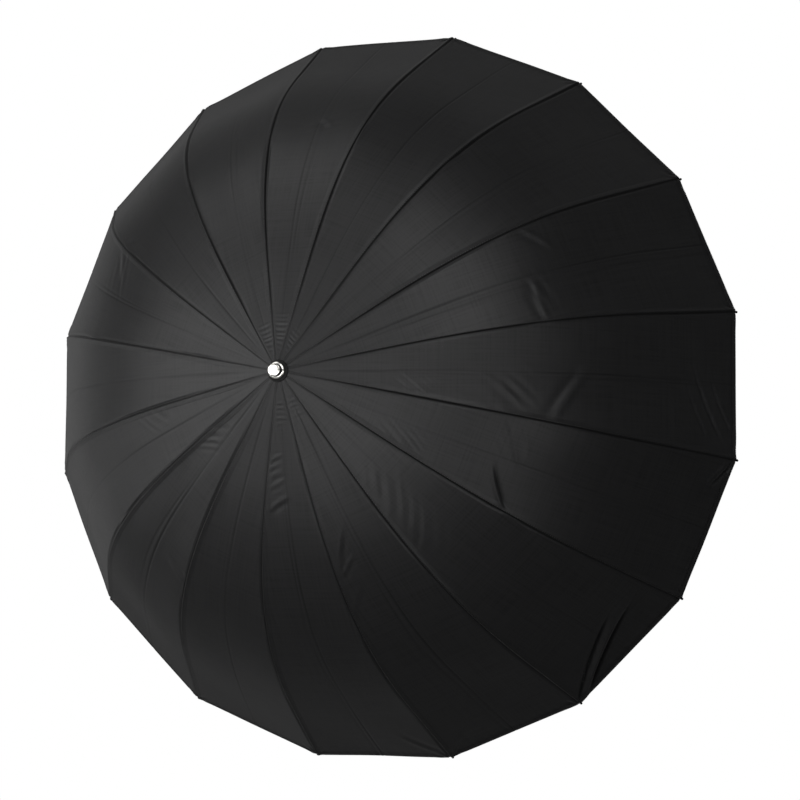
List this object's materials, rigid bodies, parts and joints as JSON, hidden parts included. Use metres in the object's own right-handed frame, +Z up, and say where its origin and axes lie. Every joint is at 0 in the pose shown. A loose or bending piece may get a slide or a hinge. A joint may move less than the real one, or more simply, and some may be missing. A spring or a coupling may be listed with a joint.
{
  "type": "umbrella reflector",
  "caption": "Deep umbrella reflector: bent ribs and a taut black canopy on a round shaft, held open by stretchers from a sliding runner with a sprung catch.",
  "frame": {"origin": "on the shaft axis at the middle of the stretch that a lamp bracket clamps", "axes": "+Y along the shaft, from the finial towards the free end that the bowl opens to; +Z up; +X to the right as seen from the finial side"},
  "size_m": [1.0316, 0.7628, 1.0316],
  "materials": {
    "canopy_cover": "matte",
    "canopy_lining": "satin",
    "sewing_thread": "matte",
    "rib_rod": "satin",
    "stretcher_steel": "satin",
    "plated_steel": "satin",
    "finial_chrome": "polished",
    "black_moulding": "satin"
  },
  "bodies": {
    "shaft_assembly": {"shaft": "plated_steel", "shaft_end_cap": "black_moulding", "finial": "finial_chrome", "canopy_washer": "black_moulding", "canopy": "canopy_cover", "top_notch": "black_moulding", "notch_wire": "plated_steel", "notch_pin": "plated_steel", "catch_pin": "plated_steel"},
    "runner": {"runner": "black_moulding", "runner_wire": "plated_steel"},
    "catch": {"catch": "plated_steel"},
    "rib_01": {"rib_inner_01": "rib_rod"},
    "rib_end_01": {"rib_outer_01": "rib_rod"},
    "stretcher_01": {"stretcher_01": "stretcher_steel"},
    "rib_02": {"rib_inner_02": "rib_rod"},
    "rib_end_02": {"rib_outer_02": "rib_rod"},
    "stretcher_02": {"stretcher_02": "stretcher_steel"},
    "rib_03": {"rib_inner_03": "rib_rod"},
    "rib_end_03": {"rib_outer_03": "rib_rod"},
    "stretcher_03": {"stretcher_03": "stretcher_steel"},
    "rib_04": {"rib_inner_04": "rib_rod"},
    "rib_end_04": {"rib_outer_04": "rib_rod"},
    "stretcher_04": {"stretcher_04": "stretcher_steel"},
    "rib_05": {"rib_inner_05": "rib_rod"},
    "rib_end_05": {"rib_outer_05": "rib_rod"},
    "stretcher_05": {"stretcher_05": "stretcher_steel"},
    "rib_06": {"rib_inner_06": "rib_rod"},
    "rib_end_06": {"rib_outer_06": "rib_rod"},
    "stretcher_06": {"stretcher_06": "stretcher_steel"},
    "rib_07": {"rib_inner_07": "rib_rod"},
    "rib_end_07": {"rib_outer_07": "rib_rod"},
    "stretcher_07": {"stretcher_07": "stretcher_steel"},
    "rib_08": {"rib_inner_08": "rib_rod"},
    "rib_end_08": {"rib_outer_08": "rib_rod"},
    "stretcher_08": {"stretcher_08": "stretcher_steel"},
    "rib_09": {"rib_inner_09": "rib_rod"},
    "rib_end_09": {"rib_outer_09": "rib_rod"},
    "stretcher_09": {"stretcher_09": "stretcher_steel"},
    "rib_10": {"rib_inner_10": "rib_rod"},
    "rib_end_10": {"rib_outer_10": "rib_rod"},
    "stretcher_10": {"stretcher_10": "stretcher_steel"},
    "rib_11": {"rib_inner_11": "rib_rod"},
    "rib_end_11": {"rib_outer_11": "rib_rod"},
    "stretcher_11": {"stretcher_11": "stretcher_steel"},
    "rib_12": {"rib_inner_12": "rib_rod"},
    "rib_end_12": {"rib_outer_12": "rib_rod"},
    "stretcher_12": {"stretcher_12": "stretcher_steel"},
    "rib_13": {"rib_inner_13": "rib_rod"},
    "rib_end_13": {"rib_outer_13": "rib_rod"},
    "stretcher_13": {"stretcher_13": "stretcher_steel"},
    "rib_14": {"rib_inner_14": "rib_rod"},
    "rib_end_14": {"rib_outer_14": "rib_rod"},
    "stretcher_14": {"stretcher_14": "stretcher_steel"},
    "rib_15": {"rib_inner_15": "rib_rod"},
    "rib_end_15": {"rib_outer_15": "rib_rod"},
    "stretcher_15": {"stretcher_15": "stretcher_steel"},
    "rib_16": {"rib_inner_16": "rib_rod"},
    "rib_end_16": {"rib_outer_16": "rib_rod"},
    "stretcher_16": {"stretcher_16": "stretcher_steel"}
  },
  "joints": [
    {"name": "runner_slide", "type": "slide", "parent": "shaft_assembly", "child": "runner", "axis": [0, 1, 0], "range_m": [0, 0.4348], "deforming": ["canopy", "catch"]},
    {"name": "rib_fold_01", "type": "hinge", "parent": "shaft_assembly", "child": "rib_01", "pos_m": [0.01373, -0.5784, 0.00273], "axis": [-0.1951, 0, 0.9808], "range_deg": [0, 66.97]},
    {"name": "rib_flex_01", "type": "hinge", "parent": "rib_01", "child": "rib_end_01", "pos_m": [0.33811, -0.45316, 0.06725], "axis": [-0.1951, 0, 0.9808], "range_deg": [-32.43, 0]},
    {"name": "stretcher_fold_01", "type": "hinge", "parent": "rib_01", "child": "stretcher_01", "pos_m": [0.32562, -0.45486, 0.06477], "axis": [-0.1951, 0, 0.9808], "range_deg": [-133.74, 0]},
    {"name": "rib_fold_02", "type": "hinge", "parent": "shaft_assembly", "child": "rib_02", "pos_m": [0.01373, -0.5784, -0.00273], "axis": [0.1951, 0, 0.9808], "range_deg": [0, 66.97]},
    {"name": "rib_flex_02", "type": "hinge", "parent": "rib_02", "child": "rib_end_02", "pos_m": [0.33811, -0.45316, -0.06725], "axis": [0.1951, 0, 0.9808], "range_deg": [-32.43, 0]},
    {"name": "stretcher_fold_02", "type": "hinge", "parent": "rib_02", "child": "stretcher_02", "pos_m": [0.32562, -0.45486, -0.06477], "axis": [0.1951, 0, 0.9808], "range_deg": [-133.74, 0]},
    {"name": "rib_fold_03", "type": "hinge", "parent": "shaft_assembly", "child": "rib_03", "pos_m": [0.01164, -0.5784, -0.00778], "axis": [0.5556, 0, 0.8315], "range_deg": [0, 66.97]},
    {"name": "rib_flex_03", "type": "hinge", "parent": "rib_03", "child": "rib_end_03", "pos_m": [0.28664, -0.45316, -0.19153], "axis": [0.5556, 0, 0.8315], "range_deg": [-32.43, 0]},
    {"name": "stretcher_fold_03", "type": "hinge", "parent": "rib_03", "child": "stretcher_03", "pos_m": [0.27604, -0.45486, -0.18445], "axis": [0.5556, 0, 0.8315], "range_deg": [-133.74, 0]},
    {"name": "rib_fold_04", "type": "hinge", "parent": "shaft_assembly", "child": "rib_04", "pos_m": [0.00778, -0.5784, -0.01164], "axis": [0.8315, 0, 0.5556], "range_deg": [0, 66.97]},
    {"name": "rib_flex_04", "type": "hinge", "parent": "rib_04", "child": "rib_end_04", "pos_m": [0.19153, -0.45316, -0.28664], "axis": [0.8315, 0, 0.5556], "range_deg": [-32.43, 0]},
    {"name": "stretcher_fold_04", "type": "hinge", "parent": "rib_04", "child": "stretcher_04", "pos_m": [0.18445, -0.45486, -0.27604], "axis": [0.8315, 0, 0.5556], "range_deg": [-133.74, 0]},
    {"name": "rib_fold_05", "type": "hinge", "parent": "shaft_assembly", "child": "rib_05", "pos_m": [0.00273, -0.5784, -0.01373], "axis": [0.9808, 0, 0.1951], "range_deg": [0, 66.97]},
    {"name": "rib_flex_05", "type": "hinge", "parent": "rib_05", "child": "rib_end_05", "pos_m": [0.06725, -0.45316, -0.33811], "axis": [0.9808, 0, 0.1951], "range_deg": [-32.43, 0]},
    {"name": "stretcher_fold_05", "type": "hinge", "parent": "rib_05", "child": "stretcher_05", "pos_m": [0.06477, -0.45486, -0.32562], "axis": [0.9808, 0, 0.1951], "range_deg": [-133.74, 0]},
    {"name": "rib_fold_06", "type": "hinge", "parent": "shaft_assembly", "child": "rib_06", "pos_m": [-0.00273, -0.5784, -0.01373], "axis": [0.9808, 0, -0.1951], "range_deg": [0, 66.97]},
    {"name": "rib_flex_06", "type": "hinge", "parent": "rib_06", "child": "rib_end_06", "pos_m": [-0.06725, -0.45316, -0.33811], "axis": [0.9808, 0, -0.1951], "range_deg": [-32.43, 0]},
    {"name": "stretcher_fold_06", "type": "hinge", "parent": "rib_06", "child": "stretcher_06", "pos_m": [-0.06477, -0.45486, -0.32562], "axis": [0.9808, 0, -0.1951], "range_deg": [-133.74, 0]},
    {"name": "rib_fold_07", "type": "hinge", "parent": "shaft_assembly", "child": "rib_07", "pos_m": [-0.00778, -0.5784, -0.01164], "axis": [0.8315, 0, -0.5556], "range_deg": [0, 66.97]},
    {"name": "rib_flex_07", "type": "hinge", "parent": "rib_07", "child": "rib_end_07", "pos_m": [-0.19153, -0.45316, -0.28664], "axis": [0.8315, 0, -0.5556], "range_deg": [-32.43, 0]},
    {"name": "stretcher_fold_07", "type": "hinge", "parent": "rib_07", "child": "stretcher_07", "pos_m": [-0.18445, -0.45486, -0.27604], "axis": [0.8315, 0, -0.5556], "range_deg": [-133.74, 0]},
    {"name": "rib_fold_08", "type": "hinge", "parent": "shaft_assembly", "child": "rib_08", "pos_m": [-0.01164, -0.5784, -0.00778], "axis": [0.5556, 0, -0.8315], "range_deg": [0, 66.97]},
    {"name": "rib_flex_08", "type": "hinge", "parent": "rib_08", "child": "rib_end_08", "pos_m": [-0.28664, -0.45316, -0.19153], "axis": [0.5556, 0, -0.8315], "range_deg": [-32.43, 0]},
    {"name": "stretcher_fold_08", "type": "hinge", "parent": "rib_08", "child": "stretcher_08", "pos_m": [-0.27604, -0.45486, -0.18445], "axis": [0.5556, 0, -0.8315], "range_deg": [-133.74, 0]},
    {"name": "rib_fold_09", "type": "hinge", "parent": "shaft_assembly", "child": "rib_09", "pos_m": [-0.01373, -0.5784, -0.00273], "axis": [0.1951, 0, -0.9808], "range_deg": [0, 66.97]},
    {"name": "rib_flex_09", "type": "hinge", "parent": "rib_09", "child": "rib_end_09", "pos_m": [-0.33811, -0.45316, -0.06725], "axis": [0.1951, 0, -0.9808], "range_deg": [-32.43, 0]},
    {"name": "stretcher_fold_09", "type": "hinge", "parent": "rib_09", "child": "stretcher_09", "pos_m": [-0.32562, -0.45486, -0.06477], "axis": [0.1951, 0, -0.9808], "range_deg": [-133.74, 0]},
    {"name": "rib_fold_10", "type": "hinge", "parent": "shaft_assembly", "child": "rib_10", "pos_m": [-0.01373, -0.5784, 0.00273], "axis": [-0.1951, 0, -0.9808], "range_deg": [0, 66.97]},
    {"name": "rib_flex_10", "type": "hinge", "parent": "rib_10", "child": "rib_end_10", "pos_m": [-0.33811, -0.45316, 0.06725], "axis": [-0.1951, 0, -0.9808], "range_deg": [-32.43, 0]},
    {"name": "stretcher_fold_10", "type": "hinge", "parent": "rib_10", "child": "stretcher_10", "pos_m": [-0.32562, -0.45486, 0.06477], "axis": [-0.1951, 0, -0.9808], "range_deg": [-133.74, 0]},
    {"name": "rib_fold_11", "type": "hinge", "parent": "shaft_assembly", "child": "rib_11", "pos_m": [-0.01164, -0.5784, 0.00778], "axis": [-0.5556, 0, -0.8315], "range_deg": [0, 66.97]},
    {"name": "rib_flex_11", "type": "hinge", "parent": "rib_11", "child": "rib_end_11", "pos_m": [-0.28664, -0.45316, 0.19153], "axis": [-0.5556, 0, -0.8315], "range_deg": [-32.43, 0]},
    {"name": "stretcher_fold_11", "type": "hinge", "parent": "rib_11", "child": "stretcher_11", "pos_m": [-0.27604, -0.45486, 0.18445], "axis": [-0.5556, 0, -0.8315], "range_deg": [-133.74, 0]},
    {"name": "rib_fold_12", "type": "hinge", "parent": "shaft_assembly", "child": "rib_12", "pos_m": [-0.00778, -0.5784, 0.01164], "axis": [-0.8315, 0, -0.5556], "range_deg": [0, 66.97]},
    {"name": "rib_flex_12", "type": "hinge", "parent": "rib_12", "child": "rib_end_12", "pos_m": [-0.19153, -0.45316, 0.28664], "axis": [-0.8315, 0, -0.5556], "range_deg": [-32.43, 0]},
    {"name": "stretcher_fold_12", "type": "hinge", "parent": "rib_12", "child": "stretcher_12", "pos_m": [-0.18445, -0.45486, 0.27604], "axis": [-0.8315, 0, -0.5556], "range_deg": [-133.74, 0]},
    {"name": "rib_fold_13", "type": "hinge", "parent": "shaft_assembly", "child": "rib_13", "pos_m": [-0.00273, -0.5784, 0.01373], "axis": [-0.9808, 0, -0.1951], "range_deg": [0, 66.97]},
    {"name": "rib_flex_13", "type": "hinge", "parent": "rib_13", "child": "rib_end_13", "pos_m": [-0.06725, -0.45316, 0.33811], "axis": [-0.9808, 0, -0.1951], "range_deg": [-32.43, 0]},
    {"name": "stretcher_fold_13", "type": "hinge", "parent": "rib_13", "child": "stretcher_13", "pos_m": [-0.06477, -0.45486, 0.32562], "axis": [-0.9808, 0, -0.1951], "range_deg": [-133.74, 0]},
    {"name": "rib_fold_14", "type": "hinge", "parent": "shaft_assembly", "child": "rib_14", "pos_m": [0.00273, -0.5784, 0.01373], "axis": [-0.9808, 0, 0.1951], "range_deg": [0, 66.97]},
    {"name": "rib_flex_14", "type": "hinge", "parent": "rib_14", "child": "rib_end_14", "pos_m": [0.06725, -0.45316, 0.33811], "axis": [-0.9808, 0, 0.1951], "range_deg": [-32.43, 0]},
    {"name": "stretcher_fold_14", "type": "hinge", "parent": "rib_14", "child": "stretcher_14", "pos_m": [0.06477, -0.45486, 0.32562], "axis": [-0.9808, 0, 0.1951], "range_deg": [-133.74, 0]},
    {"name": "rib_fold_15", "type": "hinge", "parent": "shaft_assembly", "child": "rib_15", "pos_m": [0.00778, -0.5784, 0.01164], "axis": [-0.8315, 0, 0.5556], "range_deg": [0, 66.97]},
    {"name": "rib_flex_15", "type": "hinge", "parent": "rib_15", "child": "rib_end_15", "pos_m": [0.19153, -0.45316, 0.28664], "axis": [-0.8315, 0, 0.5556], "range_deg": [-32.43, 0]},
    {"name": "stretcher_fold_15", "type": "hinge", "parent": "rib_15", "child": "stretcher_15", "pos_m": [0.18445, -0.45486, 0.27604], "axis": [-0.8315, 0, 0.5556], "range_deg": [-133.74, 0]},
    {"name": "rib_fold_16", "type": "hinge", "parent": "shaft_assembly", "child": "rib_16", "pos_m": [0.01164, -0.5784, 0.00778], "axis": [-0.5556, 0, 0.8315], "range_deg": [0, 66.97]},
    {"name": "rib_flex_16", "type": "hinge", "parent": "rib_16", "child": "rib_end_16", "pos_m": [0.28664, -0.45316, 0.19153], "axis": [-0.5556, 0, 0.8315], "range_deg": [-32.43, 0]},
    {"name": "stretcher_fold_16", "type": "hinge", "parent": "rib_16", "child": "stretcher_16", "pos_m": [0.27604, -0.45486, 0.18445], "axis": [-0.5556, 0, 0.8315], "range_deg": [-133.74, 0]},
    {"name": "catch_press", "type": "hinge", "parent": "shaft_assembly", "child": "catch", "pos_m": [0, -0.26702, 0], "axis": [1, 0, 0], "range_deg": [0, 7], "stiffness_Nm_per_rad": 0.5}
  ],
  "couplings": [
    {"joint": "rib_fold_01", "follows": "runner_slide", "rad_per_m": 2.6802},
    {"joint": "rib_flex_01", "follows": "runner_slide", "rad_per_m": -1.2938},
    {"joint": "stretcher_fold_01", "follows": "runner_slide", "rad_per_m": -5.3603},
    {"joint": "rib_fold_02", "follows": "runner_slide", "rad_per_m": 2.6802},
    {"joint": "rib_flex_02", "follows": "runner_slide", "rad_per_m": -1.2938},
    {"joint": "stretcher_fold_02", "follows": "runner_slide", "rad_per_m": -5.3603},
    {"joint": "rib_fold_03", "follows": "runner_slide", "rad_per_m": 2.6802},
    {"joint": "rib_flex_03", "follows": "runner_slide", "rad_per_m": -1.2938},
    {"joint": "stretcher_fold_03", "follows": "runner_slide", "rad_per_m": -5.3603},
    {"joint": "rib_fold_04", "follows": "runner_slide", "rad_per_m": 2.6802},
    {"joint": "rib_flex_04", "follows": "runner_slide", "rad_per_m": -1.2938},
    {"joint": "stretcher_fold_04", "follows": "runner_slide", "rad_per_m": -5.3603},
    {"joint": "rib_fold_05", "follows": "runner_slide", "rad_per_m": 2.6802},
    {"joint": "rib_flex_05", "follows": "runner_slide", "rad_per_m": -1.2938},
    {"joint": "stretcher_fold_05", "follows": "runner_slide", "rad_per_m": -5.3603},
    {"joint": "rib_fold_06", "follows": "runner_slide", "rad_per_m": 2.6802},
    {"joint": "rib_flex_06", "follows": "runner_slide", "rad_per_m": -1.2938},
    {"joint": "stretcher_fold_06", "follows": "runner_slide", "rad_per_m": -5.3603},
    {"joint": "rib_fold_07", "follows": "runner_slide", "rad_per_m": 2.6802},
    {"joint": "rib_flex_07", "follows": "runner_slide", "rad_per_m": -1.2938},
    {"joint": "stretcher_fold_07", "follows": "runner_slide", "rad_per_m": -5.3603},
    {"joint": "rib_fold_08", "follows": "runner_slide", "rad_per_m": 2.6802},
    {"joint": "rib_flex_08", "follows": "runner_slide", "rad_per_m": -1.2938},
    {"joint": "stretcher_fold_08", "follows": "runner_slide", "rad_per_m": -5.3603},
    {"joint": "rib_fold_09", "follows": "runner_slide", "rad_per_m": 2.6802},
    {"joint": "rib_flex_09", "follows": "runner_slide", "rad_per_m": -1.2938},
    {"joint": "stretcher_fold_09", "follows": "runner_slide", "rad_per_m": -5.3603},
    {"joint": "rib_fold_10", "follows": "runner_slide", "rad_per_m": 2.6802},
    {"joint": "rib_flex_10", "follows": "runner_slide", "rad_per_m": -1.2938},
    {"joint": "stretcher_fold_10", "follows": "runner_slide", "rad_per_m": -5.3603},
    {"joint": "rib_fold_11", "follows": "runner_slide", "rad_per_m": 2.6802},
    {"joint": "rib_flex_11", "follows": "runner_slide", "rad_per_m": -1.2938},
    {"joint": "stretcher_fold_11", "follows": "runner_slide", "rad_per_m": -5.3603},
    {"joint": "rib_fold_12", "follows": "runner_slide", "rad_per_m": 2.6802},
    {"joint": "rib_flex_12", "follows": "runner_slide", "rad_per_m": -1.2938},
    {"joint": "stretcher_fold_12", "follows": "runner_slide", "rad_per_m": -5.3603},
    {"joint": "rib_fold_13", "follows": "runner_slide", "rad_per_m": 2.6802},
    {"joint": "rib_flex_13", "follows": "runner_slide", "rad_per_m": -1.2938},
    {"joint": "stretcher_fold_13", "follows": "runner_slide", "rad_per_m": -5.3603},
    {"joint": "rib_fold_14", "follows": "runner_slide", "rad_per_m": 2.6802},
    {"joint": "rib_flex_14", "follows": "runner_slide", "rad_per_m": -1.2938},
    {"joint": "stretcher_fold_14", "follows": "runner_slide", "rad_per_m": -5.3603},
    {"joint": "rib_fold_15", "follows": "runner_slide", "rad_per_m": 2.6802},
    {"joint": "rib_flex_15", "follows": "runner_slide", "rad_per_m": -1.2938},
    {"joint": "stretcher_fold_15", "follows": "runner_slide", "rad_per_m": -5.3603},
    {"joint": "rib_fold_16", "follows": "runner_slide", "rad_per_m": 2.6802},
    {"joint": "rib_flex_16", "follows": "runner_slide", "rad_per_m": -1.2938},
    {"joint": "stretcher_fold_16", "follows": "runner_slide", "rad_per_m": -5.3603}
  ]
}
